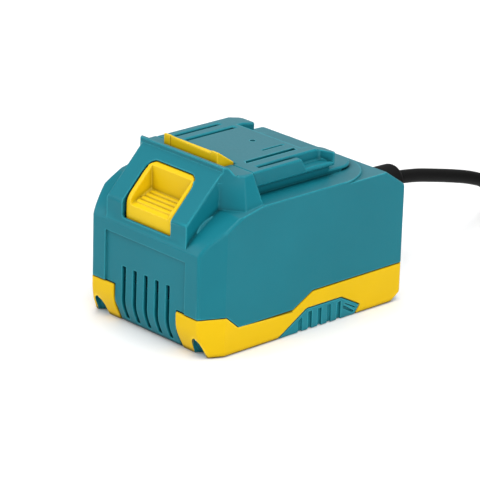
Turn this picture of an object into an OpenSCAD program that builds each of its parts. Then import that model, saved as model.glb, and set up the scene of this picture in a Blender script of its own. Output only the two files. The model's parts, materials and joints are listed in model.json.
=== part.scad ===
// Mains adapter that slides onto a cordless power tool in place of its battery pack.
// The housing has undercut slide rails, a sprung release latch and a corded power supply inside.
// X runs across the width, Y from the vented front to the cord at the rear, Z up from the base.

/* [Housing] */
// Width across the side walls
body_w = 75; // [70:0.5:86]
// Length from the front face to the rear face
body_l = 112; // [108:0.5:126]
// Height of the side shoulders above the base
shoulder_h = 60; // [56:0.5:68]
// Thickness of the moulded walls
wall = 2.4; // [1.8:0.1:2.8]
// Depth of a front corner facet across the width
corner_in = 5.1; // [3:0.1:8]
// Length of a front corner facet along the side
corner_run = 10.4; // [7:0.2:14]
// Chamfer of the upright rear corners
rear_corner = 2; // [1:0.5:6]
// Drop from the shoulders to the start of their front curve
nose_drop = 16.5; // [14:0.5:19]
// Drop from the shoulders to the knee of that curve
knee_drop = 10; // [8:0.5:12]
// Setback of the knee from the front face
knee_in = 3; // [2:0.5:5]
// Length of the curve from the front face
nose_l = 17.5; // [14:0.5:20]
// Height that the shoulders rise behind the curve
nose_rise = 2.7; // [1:0.1:5]
// Length of that rise
nose_run = 12.5; // [10:0.5:18]
// Height of the slope under the front face
base_slope_h = 9.4; // [6:0.2:12]
// Depth of that slope at the base
base_slope_in = 4.8; // [3:0.2:7]
// Height of the slope under the rear face
rear_base_h = 4.5; // [2:0.5:8]
// Depth of the slope under the rear face
rear_base_in = 6.7; // [4:0.1:9]
// Height of the slope above the rear face
rear_cut_h = 8.5; // [5:0.5:12]
// Length of the slope above the rear face
rear_cut_l = 12.5; // [9:0.5:14]
// Drop from the deck to the rear corners of the top
deck_step = 1; // [0.5:0.1:2]
// Corner radius of the deck
deck_r = 22.5; // [12:0.5:24]
// Distance from the end of the deck to the rear face
deck_back = 14.5; // [14:0.5:18]

/* [Front panel] */
// Width of the recessed front panel and of the head above it
panel_w = 48.4; // [46:0.2:54]
// Depth of the recess
panel_deep = 0.9; // [0.5:0.1:1.4]
// Number of vent slots
vent_count = 5; // [3:1:6]
// Distance between vent slots
vent_pitch = 6.7; // [5:0.1:7]
// Width of a vent slot
vent_w = 2.1; // [1:0.1:3]
// Height of the top of the vents
vent_top = 25.8; // [20:0.2:30]
// Height of the foot of the vents
vent_foot = 2.4; // [2:0.1:6]

/* [Head] */
// Setback of the head's upright front from the front face
head_front = 0.5; // [0:0.1:0.8]
// Height of the foot of the head's front above the base
head_foot = 39; // [36:0.5:42]
// Height of the leaning face
lean_h = 19; // [17:0.5:21]
// Depth of the leaning face
lean_run = 18.2; // [16:0.2:19]
// Height of the top of the leaning face over the rails
lean_rise = 1.5; // [1:0.1:2]
// Height of the upright lip above the leaning face
lip_h = 1.9; // [0.5:0.1:2.5]
// Length of the flat top of the lip
lip_flat = 1.8; // [1.8:0.1:2]
// Length of the lip's rear slope
lip_slope = 2.4; // [2.2:0.1:2.4]
// Length of the head's narrow front part
head_narrow_l = 17.5; // [15:0.5:18]
// Distance from the front face to the full width of the head
head_flank_y = 26; // [23:0.5:28]
// Width of the head across its flanks
flank_w = 59.6; // [59:0.2:64]
// Distance from the front face to the head's upright rear end
head_top_end = 31; // [30:0.1:32]
// Spread of a flank at its foot
flank_spread = 7.4; // [5:0.1:7.5]
// Distance that a flank's front edge comes forward at its foot
flank_forward = 4.2; // [2:0.1:5]
// Length of the latch's room behind the head
latch_room = 6.2; // [6:0.1:7]

/* [Slide rails] */
// Clear height of the rail grooves
groove_h = 4.6; // [4.2:0.1:6]
// Thickness of the rail flanges
flange_t = 6.8; // [5.5:0.1:8]
// Width across the rail flanges
rail_w = 58.4; // [57:0.2:59.2]
// Width of the neck between the grooves
neck_w = 52.4; // [50.5:0.2:53]
// Height of the step behind the rails
rail_step_h = 1.8; // [1:0.1:3]
// Distance from the end of that step to the end of the deck
step_back = 3.2; // [1:0.1:4]
// Corner radius of the step
rail_step_r = 10; // [6:0.5:14]
// Distance from the rear end of the rails to the rear face
rail_end_back = 33.5; // [30:0.5:36]
// Chamfer of the rail ends
rail_end_cut = 1.8; // [1:0.1:3]
// Drop of the rails' top at their rear ends
lead_in_h = 1.6; // [1:0.1:2]
// Length of that drop
lead_in_l = 7.6; // [5:0.1:9]
// Width of the gap between the rail ends
bay_w = 38; // [34:0.5:40]
// Distance from the front of that gap to the rear face
bay_back = 44.7; // [42:0.1:48]
// Width of the hollow in the rail block
rail_hollow_w = 43; // [42:0.5:44]

/* [Rail cut-outs] */
// Distance from the front face to the start of the slots
slot_start = 37.5; // [36.5:0.5:40]
// Distance from the end of the contact slots to the rear face
slot_back = 47.4; // [46:0.1:50]
// Width of a contact slot
slot_w = 2.2; // [1.6:0.1:3]
// Distance of the contact slots from the centre line
slot_x = 18; // [17:0.1:18.4]
// Width of the slots beside the flanges
edge_slot_w = 1.8; // [1.2:0.1:2.4]
// Distance of the inner walls of those slots from the centre line
edge_slot_x = 23.9; // [23:0.1:24.4]
// Height left below the edge slots and the notches
notch_floor = 2.1; // [1.5:0.1:3]
// Distance from the front face to a notch at the rail's top
notch_start = 58; // [55:0.5:60]
// Length of the slanted end before a notch
notch_slant = 3; // [1:0.5:5]
// Distance from the end of a notch to the rear face
notch_back = 39.3; // [38.5:0.1:41]
// Length of the slanted end behind a notch
notch_flare = 3.3; // [2:0.1:4]
// Length of the signal slot
signal_l = 11.5; // [8:0.5:14]
// Width of the signal slot
signal_w = 1; // [0.8:0.1:1.5]
// Distance of the signal slot from the centre line
signal_x = 11.2; // [10:0.1:12]
// Diameter of the moulding mark on top
mark_d = 2.2; // [1:0.1:3]

/* [Release latch] */
// Width of the button
button_w = 28.6; // [26:0.2:30]
// Radius of the button's upper corners
button_r = 4.2; // [3:0.1:5]
// Height of the button's rim under the rail top
button_drop = 2.9; // [2.6:0.1:4]
// Height of the visible front of the button
button_h = 21.6; // [19:0.2:23]
// Length of the button's hidden tail
button_tail = 4.5; // [4:0.5:4.5]
// Depth of the button from its front lip
button_depth = 14.4; // [13.5:0.2:15.2]
// Thickness of the scoop's side walls
scoop_wall = 2.5; // [1.5:0.1:4]
// Thickness of the scoop's back wall
scoop_back = 2.8; // [2:0.1:4]
// Depth of the scoop's floor under the button's rim, at the front
scoop_h = 15.7; // [14:0.1:16.5]
// Rise of the scoop's floor to the back
scoop_rise = 4.1; // [3:0.1:5]
// Number of thumb ribs on the scoop's floor
rib_count = 4; // [2:1:5]
// Height of a thumb rib
rib_h = 0.7; // [0.3:0.1:1]
// Travel of the latch
latch_travel = 6; // [4:0.5:6]
// Width of the hook
hook_w = 32.2; // [29:0.2:33]
// Length of the hook
hook_l = 9.6; // [9:0.1:9.8]
// Height of the hook's ends over the rail top
hook_h = 6.2; // [4:0.2:6.4]
// Drop of the hook between its ends
hook_dip = 0.9; // [0.4:0.1:1.5]
// Width of one end of the hook
hook_end_w = 3.8; // [2:0.2:6]
// Distance from the front face to the hook
hook_y = 23.4; // [23.3:0.1:24]
// Running gap round the latch
latch_gap = 0.35; // [0.25:0.05:0.5]
// Wall left in front of the sliding lip
lip_wall = 1.2; // [0.8:0.1:1.6]
// Outer diameter of the return spring
spring_d = 8; // [6:0.5:9]
// Diameter of the spring wire
spring_wire = 0.9; // [0.6:0.1:1.1]
// Turns of the return spring
spring_turns = 5; // [4:0.5:6]
// Length of the return spring at rest
spring_l = 16; // [14:0.5:18]

/* [Base and bumpers] */
// Thickness of the bumpers
bumper_t = 2; // [1.5:0.1:2.6]
// Height of the bumpers at the front and rear
bumper_h = 16.6; // [14:0.2:19]
// Height of the bumpers at the dip in the side
bumper_low_h = 10.6; // [10.2:0.2:13]
// Distance from the front face to the start of the dip
dip_start = 11; // [10.5:0.5:14]
// Length of the slope into the dip
dip_in = 7; // [5:0.5:9]
// Distance from the front face to the end of the dip
dip_end = 48; // [42:0.5:50]
// Length of the slope out of the dip
dip_out = 11; // [8:0.5:14]
// Distance of the bumpers' inner edges from the centre line
bumper_x = 19; // [17:0.2:22]
// Seam between a bumper and the housing
seam = 0.3; // [0.2:0.05:0.5]
// Height of the side grips
grip_h = 9.5; // [8:0.1:9.5]
// Distance from the front face to the foot of a grip
grip_start = 40; // [36:0.5:44]
// Length of a grip
grip_l = 47; // [42:0.5:52]
// Length of a grip's front slope
grip_rise = 16; // [12:0.5:18]
// Length of a grip's rear slope
grip_fall = 11; // [8:0.5:13]
// Border of a grip round its grooves
grip_border = 1.4; // [1:0.1:2]
// Number of upright grooves in a grip
grip_grooves = 5; // [3:1:5]
// Width of those grooves
groove_w = 2.2; // [1:0.1:3]
// Depth of those grooves
grip_deep = 1; // [0.5:0.1:1.4]
// Thickness of the base plate
base_t = 3; // [2:0.1:3.2]
// Distance of the case screws from the side walls
screw_side = 7.7; // [7.5:0.1:9]
// Distance of the front case screws from the front face
screw_front = 4.3; // [4.2:0.1:4.6]
// Distance of the rear case screws from the rear face
screw_in = 6; // [5.6:0.1:6.6]
// Diameter of the screw wells
well_d = 6.8; // [6.4:0.1:7]
// Depth of the screw wells
well_h = 9; // [8.6:0.1:9.4]
// Diameter of the case screws
case_screw_d = 3; // [2.5:0.1:3.4]
// Length of the case screws
case_screw_l = 16; // [12:0.5:20]

/* [Power supply] */
// Distance of the circuit board from the front and rear faces
board_in = 12; // [11:0.5:13]
// Width of the circuit board
board_w = 58; // [57:0.5:60]
// Thickness of the circuit board
board_t = 1.6; // [1:0.1:2]
// Height of the board's standoffs
standoff_h = 5; // [4:0.5:6]
// Width of the transformer core
core_w = 30; // [26:0.5:31]
// Height of the transformer core
core_h = 24; // [22:0.5:24]
// Depth of the transformer core
core_t = 11; // [9:0.5:12]
// Diameter of the mains storage capacitor
bulk_d = 22; // [18:0.5:23]
// Height of the mains storage capacitor
bulk_h = 34; // [25:0.5:36]
// Diameter of an output capacitor
out_cap_d = 10; // [8:0.5:10.5]
// Height of an output capacitor
out_cap_h = 18; // [12:0.5:19]
// Length of the heat sinks
sink_l = 30; // [24:0.5:30]
// Height of the heat sinks
sink_h = 21; // [20:0.5:21.5]
// Outer diameter of the filter choke
choke_d = 20; // [16:0.5:21]
// Diameter of the leads to the contacts
lead_d = 3.2; // [2.4:0.1:3.4]

/* [Mains cord] */
// Diameter of the mains cord
cord_d = 6; // [6:0.1:6]
// Height of the cord's exit above the base
cord_z = 36.3; // [36.3:0.1:36.3]
// Length of the strain relief outside the housing
boot_l = 31.5; // [31.5:0.5:31.5]
// Diameter of the strain relief at the housing
boot_d = 15.8; // [15:0.1:17]
// Diameter of the strain relief at its end
boot_tip_d = 14.2; // [13:0.2:15]
// Radius of the coil's inner turn
coil_in_r = 28; // [28:1:28]
// Turns in each of the coil's layers
coil_turns = 1.5; // [1.5:1:1.5]
// Layers of the coil
coil_layers = 4; // [4:2:4]
// Distance between turns of the coil
coil_pitch = 7.2; // [7.2:0.1:7.2]
// Thickness of the coil's tie
tie_t = 1; // [0.6:0.1:1]
// Width of the coil's tie
tie_w = 12; // [10:1:16]
// Width of the plug across its pins
plug_w = 37; // [34:0.5:40]
// Thickness of the plug
plug_t = 27; // [27:0.5:27]
// Diameter of a plug pin
pin_d = 4.8; // [4.8:0.1:4.8]
// Length of a plug pin
pin_l = 19; // [19:0.5:19]
// Distance between the plug pins
pin_gap = 19; // [19:0.5:19]

/* [Hidden] */
$fn = 64;
teal = [0.16, 0.53, 0.58];
yellow = [0.95, 0.78, 0.10];
black = [0.09, 0.09, 0.10];
steel = [0.72, 0.73, 0.75];
copper = [0.80, 0.48, 0.25];
alloy = [0.80, 0.81, 0.83];

// Small overlap that makes a cut run past a face
over = 1;
// Fit between fixed pieces that lie side by side
fit = 0.1;
// Fit round a screw's shank
screw_fit = 0.1;

half_w = body_w / 2;
front_y = -body_l / 2;
rear_y = body_l / 2;
nose_top = shoulder_h - nose_rise;
deck_low = shoulder_h - deck_step;
flange_z = shoulder_h + groove_h;
rail_top = flange_z + flange_t;
deck_end = rear_y - deck_back;
// How far the side outline runs on under the base
under = 10;

// Outward unit normal of an edge of a counter-clockwise outline
function edge_normal(a, b) = [b[1] - a[1], a[0] - b[0]] / norm(b - a);
// Outline with every edge moved inward by d
function inset(pts, d) = let (n = len(pts)) [
    for (i = [0 : n - 1])
        let (
            a = edge_normal(pts[(i + n - 1) % n], pts[i]),
            b = edge_normal(pts[i], pts[(i + 1) % n])
        )
        pts[i] - d * (a + b) / (1 + a * b)
];
// Outline mirrored to the other side of the centre line
function mirrored(pts) = concat(
    [for (p = pts) p],
    [for (i = [len(pts) - 1 : -1 : 0]) [-pts[i][0], pts[i][1]]]
);

body_plan = mirrored([
    [half_w - corner_in, front_y],
    [half_w, front_y + corner_run],
    [half_w, rear_y - rear_corner],
    [half_w - rear_corner, rear_y]
]);
// Points of a curve from a to c that bends towards b
function bend(a, b, c, n) = [
    for (i = [0 : n]) let (t = i / n) (1 - t) * (1 - t) * a + 2 * t * (1 - t) * b + t * t * c
];
// Front outline of the shoulders, and the rounded edge over the slope under the front face
nose_curve = bend(
    [front_y + nose_l, nose_top], [front_y + knee_in, shoulder_h - knee_drop],
    [front_y, shoulder_h - nose_drop], 8
);
// Share of the slope, and the same length of the face, that the rounded edge takes up
slope_round = 0.4;
slope_curve = bend(
    [front_y, base_slope_h * (1 + slope_round)], [front_y, base_slope_h],
    [front_y + base_slope_in * slope_round, base_slope_h * (1 - slope_round)], 4
);
body_side = concat([
    [front_y + base_slope_in * (1 + under / base_slope_h), -under],
    [rear_y - rear_base_in * (1 + under / rear_base_h), -under],
    [rear_y, rear_base_h],
    [rear_y, deck_low - rear_cut_h],
    [rear_y - rear_cut_l * (1 + deck_step / rear_cut_h), shoulder_h],
    [front_y + nose_l + nose_run, shoulder_h]
], nose_curve, slope_curve);

// Height where the front recess has its full depth
panel_full = 14;

lean_top = rail_top + lean_rise;
lean_foot = lean_top - lean_h;
lean_front = front_y + head_front;
lip_end = lean_front + lean_run + lip_flat + lip_slope;
head_end = front_y + head_top_end;
room_end = head_end + latch_room;
head_plan = mirrored([
    [panel_w / 2, lean_front],
    [panel_w / 2, front_y + head_narrow_l],
    [flank_w / 2, front_y + head_flank_y],
    [flank_w / 2, room_end + 2 * wall]
]);
// Side outline of the head down to height low and back to y = back
function head_side(low, back) = [
    [lean_front, low],
    [back, low],
    [back, rail_top],
    [lip_end, rail_top],
    [lip_end - lip_slope, lean_top],
    [lip_end - lip_slope - lip_flat, lean_top],
    [lean_front, lean_foot]
];

button_top = rail_top - button_drop;
button_low = button_top - button_h;
button_front = lean_front + lip_wall + latch_gap;
button_back = button_front + button_depth;
// How far the button's rim lies behind the leaning face
rim_back = 0.4;
scoop_floor = button_top - scoop_h;
scoop_l = button_depth - scoop_back;
window_low_r = 1.2;
hook_front = front_y + hook_y;
hook_back = hook_front + hook_l;
// Height of the latch's bridge from the button to the hook, and its thickness
bridge_drop = 19.4;
bridge_z = rail_top - bridge_drop;
bridge_t = 6;
bridge_w = 20;
// Flange of the latch that stops it under the rail top
stop_t = 2.4;
stop_reach = 1.6;
stop_w = 20;
spring_y = button_back + spring_d / 2 + 0.25;
seat_z = bridge_z - spring_l;
bracket_t = 2.5;
bracket_l = 8;
bracket_screw_l = 9;
bracket_x = 26.5;
bracket_w = 2 * bracket_x + bracket_l;
post_d = 7;
peg_d = spring_d - 2 * spring_wire - 0.6;
peg_l = 4;

band_side = [
    [front_y - over, -over],
    [rear_y + over, -over],
    [rear_y + over, bumper_h],
    [front_y + dip_end + dip_out, bumper_h],
    [front_y + dip_end, bumper_low_h],
    [front_y + dip_start + dip_in, bumper_low_h],
    [front_y + dip_start, bumper_h],
    [front_y - over, bumper_h]
];
grip_y = front_y + grip_start;
grip_tip_z = grip_h * 0.39;
// How far the grip's outline runs on under the base
grip_under = 3;
grip_side = [
    [grip_y - grip_under * grip_rise / grip_h, -grip_under],
    [grip_y + grip_l - (grip_under + grip_tip_z) * 0.75, -grip_under],
    [grip_y + grip_l, grip_tip_z],
    [grip_y + grip_l - grip_fall, grip_h],
    [grip_y + grip_rise, grip_h]
];
// Height where the housing's walls stand on the base tray
split_z = bumper_low_h - 1;
tray_in = bumper_t + fit;
apron_x = bumper_x - seam;
boss_d = well_d + 2.8;
boss_h = well_h + 4;
post_top = boss_h + case_screw_l;
screw_x = half_w - screw_side;
screw_spots = [for (x = [-screw_x, screw_x], y = [front_y + screw_front, rear_y - screw_in]) [x, y]];

board_z = base_t + standoff_h;
board_top = board_z + board_t;
board_l = body_l - 2 * board_in;
board_front = front_y + board_in;
board_end = rear_y - board_in;
board_spots = [
    for (x = [-1, 1], y = [board_front + 5, board_front + board_l - 5]) [x * (board_w / 2 - 4), y]
];
core_leg = 9;
bobbin_t = 3.4;
window_w = (core_w - 2 * core_leg) / 2;
window_h = core_h - core_leg;
device_w = 10;
device_t = 4.4;
device_h = 15;
// Places of the parts on the board, one behind the other from its rear end
part_gap = 1.3;
fuse_d = 5.4;
fuse_l = 20;
fuse_y = board_end - part_gap - fuse_d / 2;
box_cap_w = 18;
box_cap_t = 9;
box_cap_h = 15;
box_cap_x = board_w / 2 - box_cap_w / 2 - 6.8;
box_cap_y = fuse_y + fuse_d / 2 - part_gap - box_cap_t / 2 - 2.9;
choke_t = 9;
choke_x = 15;
choke_y = box_cap_y - (box_cap_t + choke_t) / 2 - 5;
bulk_x = 16;
bulk_y = fuse_y - fuse_d / 2 - part_gap - bulk_d / 2 - 1;
bridge_t_y = 4;
rect_w = 18;
rect_h = 14;
rect_lift = 3;
bridge_rect_x = board_w / 2 - rect_w / 2;
bridge_y = choke_y - (choke_t + bridge_t_y) / 2 - 3.5;
sink_x = 24.6;
sink_y = bridge_y - bridge_t_y / 2 - 2 - sink_l;
out_cap_y = board_front + 1 + out_cap_d / 2;
out_cap_gap = out_cap_d + 1;

hollow_end = rear_y - bay_back - wall;
slot_end = rear_y - slot_back;
signal_y = slot_end - signal_l / 2;
winding_t = core_t + 2 * window_w;
core_y = signal_y - 1.4 - winding_t / 2;
contact_mid = (front_y + slot_start + slot_end) / 2;
contact_l = slot_end - front_y - slot_start - 4;
block_z = shoulder_h - wall;
block_t = 3;
block_l = hollow_end - room_end - 2 * fit;
block_mid = (hollow_end + room_end) / 2;
contact_z = block_z + block_t;
contact_h = rail_top - wall - contact_z - 0.4;
tab_l = 8;
block_screw_y = [room_end + 5, hollow_end - 4];
rail_screw_x = (rail_hollow_w + neck_w) / 4;
rail_screw_y = [room_end + 6, rear_y - bay_back + 5];
small_screw_d = 2.4;
small_head_d = 4.6;
small_head_h = 1.8;

clamp_x = 12.5;
clamp_t = 4;
clamp_h = 14;
clamp_side = 4;
clamp_post = 4;
clamp_y = rear_y - wall - clamp_post;
tail_end = clamp_y - clamp_t - 2.5;
boot_neck_d = boot_d - 4;
boot_flange_t = 2;

coil_out_r = coil_in_r + coil_turns * coil_pitch;
coil_z = cord_d / 2 + tie_t + 0.4;
coil_steps = 24;
coil_top = coil_z + (coil_layers - 1) * coil_pitch;
// Angle by which the cord turns aside before it runs into the coil
coil_turned = 30;
coil_dir = [-sin(coil_turned), cos(coil_turned), 0];
cord_start = [0, rear_y + boot_l, 0];
coil_begin = cord_start + [-22, 96, coil_z];
coil_centre = coil_begin + cord_d * coil_dir + coil_out_r * [cos(coil_turned), sin(coil_turned), 0];
coil_end = coil_centre + coil_out_r * [cos(coil_turned), sin(coil_turned), 0] - cord_d * coil_dir
    + [0, 0, coil_top - coil_z];
// Route of the cord from the strain relief to the coil
cord_route = concat(
    [for (p = [
        [0, 0, cord_z], [0, 2, cord_z], [0, 7, 35.7], [0, 14, 34.6], [0, 21, 33.1], [0, 32, 30.5],
        [0, 42.5, 27.8], [0, 49, 25.8], [-0.6, 55, 23.5], [-2, 59.8, 21.1], [-4.1, 64.3, 18.5],
        [-8.1, 71.2, 14.2], [-12.1, 78.2, 10], [-14.1, 81.6, 7.9], [-16.6, 86, 6], [-19.1, 90.3, 4.8]
    ]) cord_start + p],
    [coil_begin - 2 * coil_dir, coil_begin]
);
plug_z = coil_top + cord_d / 2 + 0.4 + plug_t / 2;
plug_tail = cord_start + [-5.2, 125, plug_z];
// Route of the cord from the coil round to the plug on top of it
end_route = concat(
    [coil_end, coil_end - 2 * coil_dir],
    [for (p = [
        [48.4, 126, 26.2], [48.4, 116.6, 27], [45.2, 107.8, 28.8], [39.2, 100.6, 31.5], [31, 95.9, 34.4],
        [21.8, 94.3, 37], [12.6, 95.9, 39.2], [4.4, 100.6, 40.9], [-1.6, 107.8, 42], [-4.8, 116.6, 42.7]
    ]) cord_start + p],
    [plug_tail - [0, 2, 0], plug_tail]
);
plug_tail_l = 16;
plug_neck_l = 12;
plug_face_l = 14;
pin_y = plug_tail[1] + plug_tail_l + plug_neck_l + plug_face_l;

// Solid of a side outline drawn in Y and Z, across the width w
module across(w) {
    rotate([90, 0, 90]) linear_extrude(w, center = true) children();
}

// Solid of a front outline drawn in X and Z, from y to y + l
module along(y, l) {
    translate([0, y + l, 0]) rotate([90, 0, 0]) linear_extrude(l) children();
}

// Box from one corner to the other
module box(a, b) {
    translate(a) cube(b - a);
}

// Rectangle w by h, centred on x, from the base line up, with round corners
module round_rect(w, h, r) {
    translate([-w / 2 + r, 0]) square([w - 2 * r, h]);
    translate([-w / 2, r]) square([w, h - 2 * r]);
    for (x = [-w / 2 + r, w / 2 - r], y = [r, h - r]) translate([x, y]) circle(r);
}

// Window w by h, centred on x, with its own corner radii below and above
module window(w, h, low_r, top_r) {
    translate([-w / 2 + low_r, 0]) square([w - 2 * low_r, h - top_r]);
    translate([-w / 2, low_r]) square([w, h - low_r - top_r]);
    translate([-w / 2 + top_r, low_r]) square([w - 2 * top_r, h - low_r]);
    for (x = [-w / 2 + low_r, w / 2 - low_r]) translate([x, low_r]) circle(low_r);
    for (x = [-w / 2 + top_r, w / 2 - top_r]) translate([x, h - top_r]) circle(top_r);
}

// Plate outline w wide from y0 back to y1, with round rear corners
module round_back(w, y0, y1, r) {
    translate([-w / 2, y0]) square([w, y1 - r - y0]);
    translate([-w / 2 + r, y0]) square([w - 2 * r, y1 - y0]);
    for (x = [-w / 2 + r, w / 2 - r]) translate([x, y1 - r]) circle(r);
}

// Screw with its head's underside at the origin and its shank up along Z
module screw(d, l, head_d, head_h) {
    cylinder(d = d, h = l);
    difference() {
        translate([0, 0, -head_h]) cylinder(d1 = head_d * 0.8, d2 = head_d, h = head_h);
        for (a = [0, 90]) rotate(a) translate([0, 0, -head_h])
            cube([head_d * 0.5, 0.7, head_h], center = true);
    }
}

// Form of the housing with its walls moved inward by i, from height low up
module body_form(i = 0, low = 0) {
    intersection() {
        translate([0, 0, low]) linear_extrude(shoulder_h - low + over) polygon(inset(body_plan, i));
        across(body_w + 2 * over) polygon(inset(body_side, i));
    }
}

// Form of the head with its walls moved inward by i
module head_form(i, low, back) {
    intersection() {
        translate([0, 0, low]) linear_extrude(lean_top - low) polygon(inset(head_plan, i));
        across(body_w) polygon(inset(head_side(low, back), i));
    }
}

// Solid between two outlines of the same number of points, at two heights
module loft(low_pts, low_z, top_pts, top_z) {
    n = len(low_pts);
    rows = 5;
    points = [
        for (k = [0 : rows], i = [0 : n - 1])
            let (t = k / rows, p = (1 - t) * low_pts[i] + t * top_pts[i])
            [p[0], p[1], (1 - t) * low_z + t * top_z]
    ];
    walls = [
        for (k = [0 : rows - 1], i = [0 : n - 1])
            let (a = k * n + i, b = k * n + (i + 1) % n)
            each [[a, a + n, b + n], [a, b + n, b]]
    ];
    top = rows * n;
    ends = [for (i = [0 : n - 3]) each [[n - 1, i, i + 1], [top + n - 1, top + i + 1, top + i]]];
    polyhedron(points, concat(walls, ends));
}

// Outline of a flank whose front edge ends at corner and whose rear edge ends at x
function flank_plan(corner, x) = let (in = panel_w / 2, y = front_y + head_narrow_l, n = 6) concat(
    [[in - wall, y]],
    [for (i = [0 : n]) [in, y] + (corner - [in, y]) * i / n],
    [[x, head_end], [in - wall, head_end]]
);

// Flank of the head on side s, wider at its foot on the shoulder
module flank(s) {
    low = shoulder_h - nose_rise - 0.5;
    edge_y = front_y + head_flank_y;
    top_x = flank_w / 2;
    foot = flank_plan([top_x + flank_spread * 0.8, edge_y - flank_forward], top_x + flank_spread * 1.15);
    intersection() {
        scale([s, 1, 1]) loft(foot, low, flank_plan([top_x, edge_y], top_x), rail_top);
        box([-half_w + 0.2, front_y, low], [half_w - 0.2, head_end, rail_top]);
    }
}

// Space of the bumpers: the housing's lower skin beside the centre panels
module bumper_band(deep, gap) {
    intersection() {
        difference() {
            body_form();
            body_form(deep, -over);
        }
        across(body_w + 2 * over) polygon(inset(band_side, -gap));
        for (s = [-1, 1]) translate([s * (bumper_x - gap + half_w), 0, half_w - over])
            cube([2 * half_w, body_l + 2 * over, body_w], center = true);
    }
}

// Bosses and shafts of the four case screws
module at_screws(z) {
    for (p = screw_spots) translate([p[0], p[1], z]) children();
}

// Upright lip along the top of the leaning face
module lip() {
    front = lip_end - lip_slope - lip_flat;
    intersection() {
        translate([0, 0, rail_top - over]) linear_extrude(lean_rise + lip_h + over) polygon(head_plan);
        across(body_w) polygon([
            [front, lean_top - over], [lip_end, rail_top], [lip_end - lip_slope, lean_top + lip_h],
            [front, lean_top + lip_h]
        ]);
    }
}

module main_housing() {
    color(teal) difference() {
        union() {
            difference() {
                union() {
                    body_form();
                    head_form(0, head_foot, head_end);
                    lip();
                    for (s = [-1, 1]) flank(s);
                }
                body_form(wall, bumper_h + wall);
                body_form(bumper_t + wall, -over);
                head_form(wall, head_foot - over, room_end + wall);
            }
            intersection() {
                at_screws(boss_h + fit) cylinder(d = boss_d, h = post_top - boss_h);
                body_form(wall / 2);
            }
            housing_posts();
        }
        housing_cuts();
        latch_openings();
        rail_seat_cuts();
        gland_cuts();
    }
}

// Posts for the spring bracket, guide ribs for the hook and posts for the cord clamp
module housing_posts() {
    intersection() {
        for (x = [-bracket_x, bracket_x])
            translate([x, spring_y, seat_z]) cylinder(d = post_d, h = shoulder_h - seat_z);
        body_form(wall / 2);
    }
    for (s = [-1, 1]) intersection() {
        box([s * (hook_w / 2 + latch_gap + flank_w / 4) - flank_w / 4, hook_front + 2.2, bridge_z],
            [s * (hook_w / 2 + latch_gap + flank_w / 4) + flank_w / 4, hook_front + 4.6, rail_top]);
        head_form(wall / 2, bridge_z, head_end);
    }
    for (x = [-clamp_x, clamp_x])
        translate([x, clamp_y, cord_z]) rotate([-90, 0, 0]) cylinder(d = post_d, h = clamp_post + wall / 2);
}

// Recesses, vents, the seats of the bumpers and the room for the base tray
module housing_cuts() {
    translate([0, 0, deck_low]) linear_extrude(deck_step + over) difference() {
        translate([-half_w - over, 0]) square([body_w + 2 * over, body_l]);
        round_back(body_w, -over, deck_end, deck_r);
    }
    across(panel_w) polygon(concat(
        [[front_y - over, head_foot], [front_y - over, 0], [front_y + base_slope_in, 0]],
        [for (i = [len(slope_curve) - 1 : -1 : 0])
            slope_curve[i] + [panel_deep * min(1, slope_curve[i][1] / panel_full), 0]],
        [[front_y + panel_deep, panel_full], [front_y + panel_deep, head_foot]]
    ));
    for (i = [0 : vent_count - 1]) translate([(i - (vent_count - 1) / 2) * vent_pitch, front_y - over, 0])
        along(0, bumper_t + wall + base_slope_in + 2 * over)
            translate([0, vent_foot]) round_rect(vent_w, vent_top - vent_foot, 0.3);
    bumper_band(tray_in, seam);
    for (s = [-1, 1]) box(
        [s * (apron_x + half_w) - half_w, front_y - over, -over],
        [s * (apron_x + half_w) + half_w, rear_y + over, split_z]
    );
    at_screws(-over) cylinder(d = boss_d + 2 * fit, h = boss_h + fit + over);
    at_screws(0) cylinder(d = case_screw_d + 2 * screw_fit, h = post_top - 2);
    for (x = [-bracket_x, bracket_x])
        translate([x, spring_y, seat_z - over]) cylinder(d = small_screw_d + 2 * screw_fit, h = 10);
}

// Window of the button, the pocket of its lip and the hook's opening
module latch_openings() {
    along(front_y - over, button_depth + head_front + lip_wall + 6) translate([0, button_low])
        window(button_w + 2 * latch_gap, button_h + latch_gap, window_low_r, button_r + latch_gap);
    box([-button_w / 2 - 2 * latch_gap, lean_front + lip_wall, button_low - button_tail - latch_travel - 1],
        [button_w / 2 + 2 * latch_gap, lean_front + wall + 1, button_low + 2 * window_low_r]);
    hook_opening();
}

module hook_opening() {
    box([-hook_w / 2 - latch_gap, hook_front - latch_gap, rail_top - wall - over],
        [hook_w / 2 + latch_gap, hook_back + latch_gap, rail_top + over]);
}

// Opening under the rail block and the holes of its screws
module rail_seat_cuts() {
    box([-rail_hollow_w / 2, room_end, block_z - over],
        [rail_hollow_w / 2, hollow_end, shoulder_h + over]);
    for (s = [-1, 1], y = rail_screw_y)
        translate([s * rail_screw_x, y, block_z - over])
            cylinder(d = small_screw_d + 2 * screw_fit, h = wall + 2 * over);
}

// Hole of the strain relief and the holes of the clamp's screws
module gland_cuts() {
    translate([0, rear_y - 2 * wall, cord_z]) rotate([-90, 0, 0])
        cylinder(d = boot_neck_d + 2 * fit, h = 3 * wall);
    for (x = [-clamp_x, clamp_x]) translate([x, clamp_y - over, cord_z]) rotate([-90, 0, 0])
        cylinder(d = small_screw_d + 2 * screw_fit, h = clamp_post + over);
}

// Outline of the rails, half-width hw, open between their rear ends
module rail_plan(hw) {
    end = rear_y - rail_end_back;
    bay = rear_y - bay_back;
    polygon(mirrored([
        [hw, front_y],
        [hw, end - rail_end_cut],
        [hw - rail_end_cut, end],
        [bay_w / 2 + rail_end_cut, end],
        [bay_w / 2, end - rail_end_cut],
        [bay_w / 2, bay]
    ]));
}

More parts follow.
